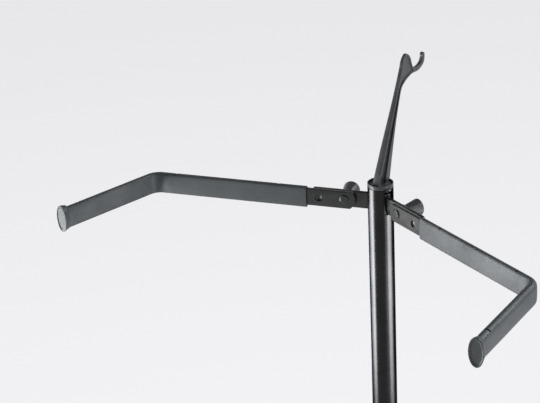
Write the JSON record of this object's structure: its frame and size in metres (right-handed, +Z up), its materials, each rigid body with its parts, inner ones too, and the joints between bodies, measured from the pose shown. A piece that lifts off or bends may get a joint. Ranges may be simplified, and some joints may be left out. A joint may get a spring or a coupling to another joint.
{
  "type": "string instrument stand",
  "caption": "Free-standing stand for a large string instrument: padded cradle arms and a bow holder on a height-adjustable pole over a folding tripod base.",
  "frame": {"origin": "on the floor, at the middle of the stand's outline seen from above", "axes": "+Z up the pole, -Y towards the player, where the padded arms point, and +X towards the right arm seen from the player"},
  "size_m": [0.682, 0.63, 1.1627],
  "materials": {
    "gloss_black": "gloss black powder coat on steel tube",
    "satin_black": "satin black coat on flat steel",
    "rubber": "matte slate grey moulded rubber",
    "moulded": "matte dark grey moulded nylon",
    "zinc": "bright zinc plate"
  },
  "bodies": {
    "base": {"base_tube": "gloss_black", "guide_bush": "moulded", "height_clamp": "moulded", "clamp_pad": "moulded", "base_hub": "moulded", "hub_pin_1": "zinc", "hub_pin_2": "zinc", "hub_pin_3": "zinc"},
    "pole": {"pole_tube": "gloss_black", "top_cap": "moulded", "pole_plug": "moulded", "link_core": "satin_black", "core_screw": "zinc", "left_link": "satin_black", "left_link_pin": "zinc", "right_link": "satin_black", "right_link_pin": "zinc"},
    "bow_holder": {"bow_holder": "moulded"},
    "left_arm": {"left_arm_bar": "satin_black", "left_arm_sleeve": "rubber", "left_arm_bolt": "satin_black", "left_arm_washer": "zinc"},
    "left_arm_knob": {"left_arm_knob": "moulded"},
    "right_arm": {"right_arm_bar": "satin_black", "right_arm_sleeve": "rubber", "right_arm_bolt": "satin_black", "right_arm_washer": "zinc"},
    "right_arm_knob": {"right_arm_knob": "moulded"},
    "height_knob": {"height_knob": "moulded"},
    "lower_bracket": {"lower_bracket": "satin_black"},
    "bracket_knob": {"bracket_knob": "moulded"},
    "left_lower": {"left_lower_bar": "satin_black", "left_lower_sleeve": "rubber", "left_lower_bolt": "satin_black", "left_lower_washer": "zinc"},
    "left_lower_knob": {"left_lower_knob": "moulded"},
    "right_lower": {"right_lower_bar": "satin_black", "right_lower_sleeve": "rubber", "right_lower_bolt": "satin_black", "right_lower_washer": "zinc"},
    "right_lower_knob": {"right_lower_knob": "moulded"},
    "leg_collar": {"leg_collar": "moulded", "leg_pin_1": "zinc", "leg_pin_2": "zinc", "leg_pin_3": "zinc"},
    "collar_knob": {"collar_knob": "moulded"},
    "leg_1": {"leg_1": "gloss_black", "foot_1": "rubber", "brace_pin_1": "zinc"},
    "leg_2": {"leg_2": "gloss_black", "foot_2": "rubber", "brace_pin_2": "zinc"},
    "leg_3": {"leg_3": "gloss_black", "foot_3": "rubber", "brace_pin_3": "zinc"},
    "brace_1": {"brace_1": "satin_black"},
    "brace_2": {"brace_2": "satin_black"},
    "brace_3": {"brace_3": "satin_black"}
  },
  "joints": [
    {"name": "pole_slide", "type": "slide", "parent": "base", "child": "pole", "axis": [0, 0, 1], "range_m": [-0.25, 0.13]},
    {"name": "height_knob_turn", "type": "hinge", "parent": "base", "child": "height_knob", "pos_m": [0, -0.07579, 0.602], "axis": [0, 1, 0], "range_deg": [0, 360]},
    {"name": "bow_holder_swivel", "type": "hinge", "parent": "pole", "child": "bow_holder", "pos_m": [0, -0.07579, 1.02], "axis": [0, 0, 1], "continuous": true},
    {"name": "left_arm_fold", "type": "hinge", "parent": "pole", "child": "left_arm", "pos_m": [-0.03726, -0.09452, 1.0014], "axis": [0.3322, -0.9432, 0], "range_deg": [0, 85]},
    {"name": "right_arm_fold", "type": "hinge", "parent": "pole", "child": "right_arm", "pos_m": [0.03726, -0.09452, 1.0014], "axis": [0.3322, 0.9432, 0], "range_deg": [0, 85]},
    {"name": "left_arm_knob_turn", "type": "hinge", "parent": "left_arm", "child": "left_arm_knob", "pos_m": [-0.03726, -0.09452, 1.0014], "axis": [-0.3322, 0.9432, 0], "range_deg": [0, 360]},
    {"name": "right_arm_knob_turn", "type": "hinge", "parent": "right_arm", "child": "right_arm_knob", "pos_m": [0.03726, -0.09452, 1.0014], "axis": [0.3322, 0.9432, 0], "range_deg": [0, 360]},
    {"name": "bracket_slide", "type": "slide", "parent": "base", "child": "lower_bracket", "axis": [0, 0, 1], "range_m": [-0.12, 0.14]},
    {"name": "bracket_knob_turn", "type": "hinge", "parent": "lower_bracket", "child": "bracket_knob", "pos_m": [0, -0.07579, 0.42], "axis": [0, 1, 0], "range_deg": [0, 360]},
    {"name": "left_lower_fold", "type": "hinge", "parent": "lower_bracket", "child": "left_lower", "pos_m": [-0.03726, -0.09452, 0.4214], "axis": [-0.3322, 0.9432, 0], "range_deg": [0, 85]},
    {"name": "right_lower_fold", "type": "hinge", "parent": "lower_bracket", "child": "right_lower", "pos_m": [0.03726, -0.09452, 0.4214], "axis": [-0.3322, -0.9432, 0], "range_deg": [0, 85]},
    {"name": "left_lower_knob_turn", "type": "hinge", "parent": "left_lower", "child": "left_lower_knob", "pos_m": [-0.03726, -0.09452, 0.4214], "axis": [-0.3322, 0.9432, 0], "range_deg": [0, 360]},
    {"name": "right_lower_knob_turn", "type": "hinge", "parent": "right_lower", "child": "right_lower_knob", "pos_m": [0.03726, -0.09452, 0.4214], "axis": [0.3322, 0.9432, 0], "range_deg": [0, 360]},
    {"name": "base_fold", "type": "slide", "parent": "base", "child": "leg_collar", "axis": [0, 0, 1], "range_m": [0, 0.139]},
    {"name": "collar_knob_turn", "type": "hinge", "parent": "leg_collar", "child": "collar_knob", "pos_m": [0, -0.07579, 0.22527], "axis": [0, -1, 0], "range_deg": [0, 360]},
    {"name": "leg_1_swing", "type": "hinge", "parent": "leg_collar", "child": "leg_1", "pos_m": [0, -0.03778, 0.22527], "axis": [-1, 0, 0], "range_deg": [0, 52]},
    {"name": "leg_2_swing", "type": "hinge", "parent": "leg_collar", "child": "leg_2", "pos_m": [-0.03291, -0.09478, 0.22527], "axis": [0.5, -0.866, 0], "range_deg": [0, 52]},
    {"name": "leg_3_swing", "type": "hinge", "parent": "leg_collar", "child": "leg_3", "pos_m": [0.03291, -0.09478, 0.22527], "axis": [0.5, 0.866, 0], "range_deg": [0, 52]},
    {"name": "brace_1_swing", "type": "hinge", "parent": "base", "child": "brace_1", "pos_m": [0, -0.03778, 0.06629], "axis": [1, 0, 0], "range_deg": [0, 52]},
    {"name": "brace_2_swing", "type": "hinge", "parent": "base", "child": "brace_2", "pos_m": [-0.03291, -0.09478, 0.06629], "axis": [-0.5, 0.866, 0], "range_deg": [0, 52]},
    {"name": "brace_3_swing", "type": "hinge", "parent": "base", "child": "brace_3", "pos_m": [0.03291, -0.09478, 0.06629], "axis": [-0.5, -0.866, 0], "range_deg": [0, 52]}
  ],
  "couplings": [
    {"joint": "leg_1_swing", "follows": "base_fold", "rad_per_m": 6.51},
    {"joint": "leg_2_swing", "follows": "base_fold", "rad_per_m": 6.51},
    {"joint": "leg_3_swing", "follows": "base_fold", "rad_per_m": 6.51},
    {"joint": "brace_1_swing", "follows": "base_fold", "rad_per_m": 6.51},
    {"joint": "brace_2_swing", "follows": "base_fold", "rad_per_m": 6.51},
    {"joint": "brace_3_swing", "follows": "base_fold", "rad_per_m": 6.51}
  ]
}
